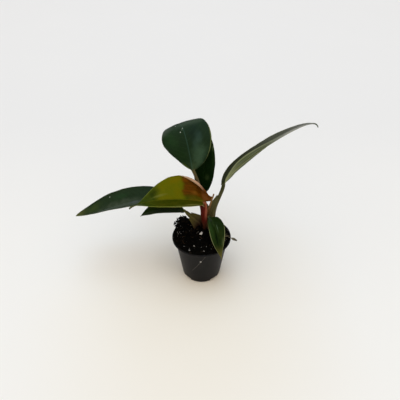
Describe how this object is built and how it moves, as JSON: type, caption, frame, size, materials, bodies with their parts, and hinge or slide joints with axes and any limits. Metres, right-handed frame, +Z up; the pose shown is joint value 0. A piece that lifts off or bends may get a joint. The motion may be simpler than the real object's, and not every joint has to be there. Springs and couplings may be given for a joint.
{
  "type": "potted philodendron",
  "caption": "Young philodendron with long arching leaves on winged petioles, one of them yellow-green and newly opened, in a small tapered plastic nursery pot of crumbly soil.",
  "frame": {"origin": "centre of the pot's underside, on the surface that it stands on", "axes": "+Z up; seen from the plant's front, +X is to the right and +Y goes to the back"},
  "size_m": [0.2396, 0.1183, 0.1796],
  "materials": {
    "pot_plastic": "satin black moulded plastic with fine scuffs",
    "potting_soil": "damp crumbly peat and bark",
    "stem": "olive-brown plant skin",
    "leaf_dark": "dark green leathery leaf with a soft sheen",
    "leaf_green": "mid green leaf with a soft sheen",
    "leaf_new": "glossy yellow-green new leaf, orange-brown at its base",
    "dry_sheath": "dry papery sheath",
    "bark": "weathered grey-brown fibre",
    "perlite": "chalky white porous grain"
  },
  "bodies": {
    "root": {"pot": "pot_plastic", "soil": "potting_soil", "stem": "stem", "leaf_upper": "leaf_dark", "leaf_back": "leaf_dark", "leaf_young": "leaf_new", "leaf_left": "leaf_dark", "leaf_right": "leaf_dark", "leaf_low_left": "leaf_dark", "leaf_front": "leaf_green", "dried_sheath": "dry_sheath", "bark_fibre": "bark", "perlite_1": "perlite", "perlite_2": "perlite", "perlite_3": "perlite", "perlite_4": "perlite"}
  },
  "joints": []
}
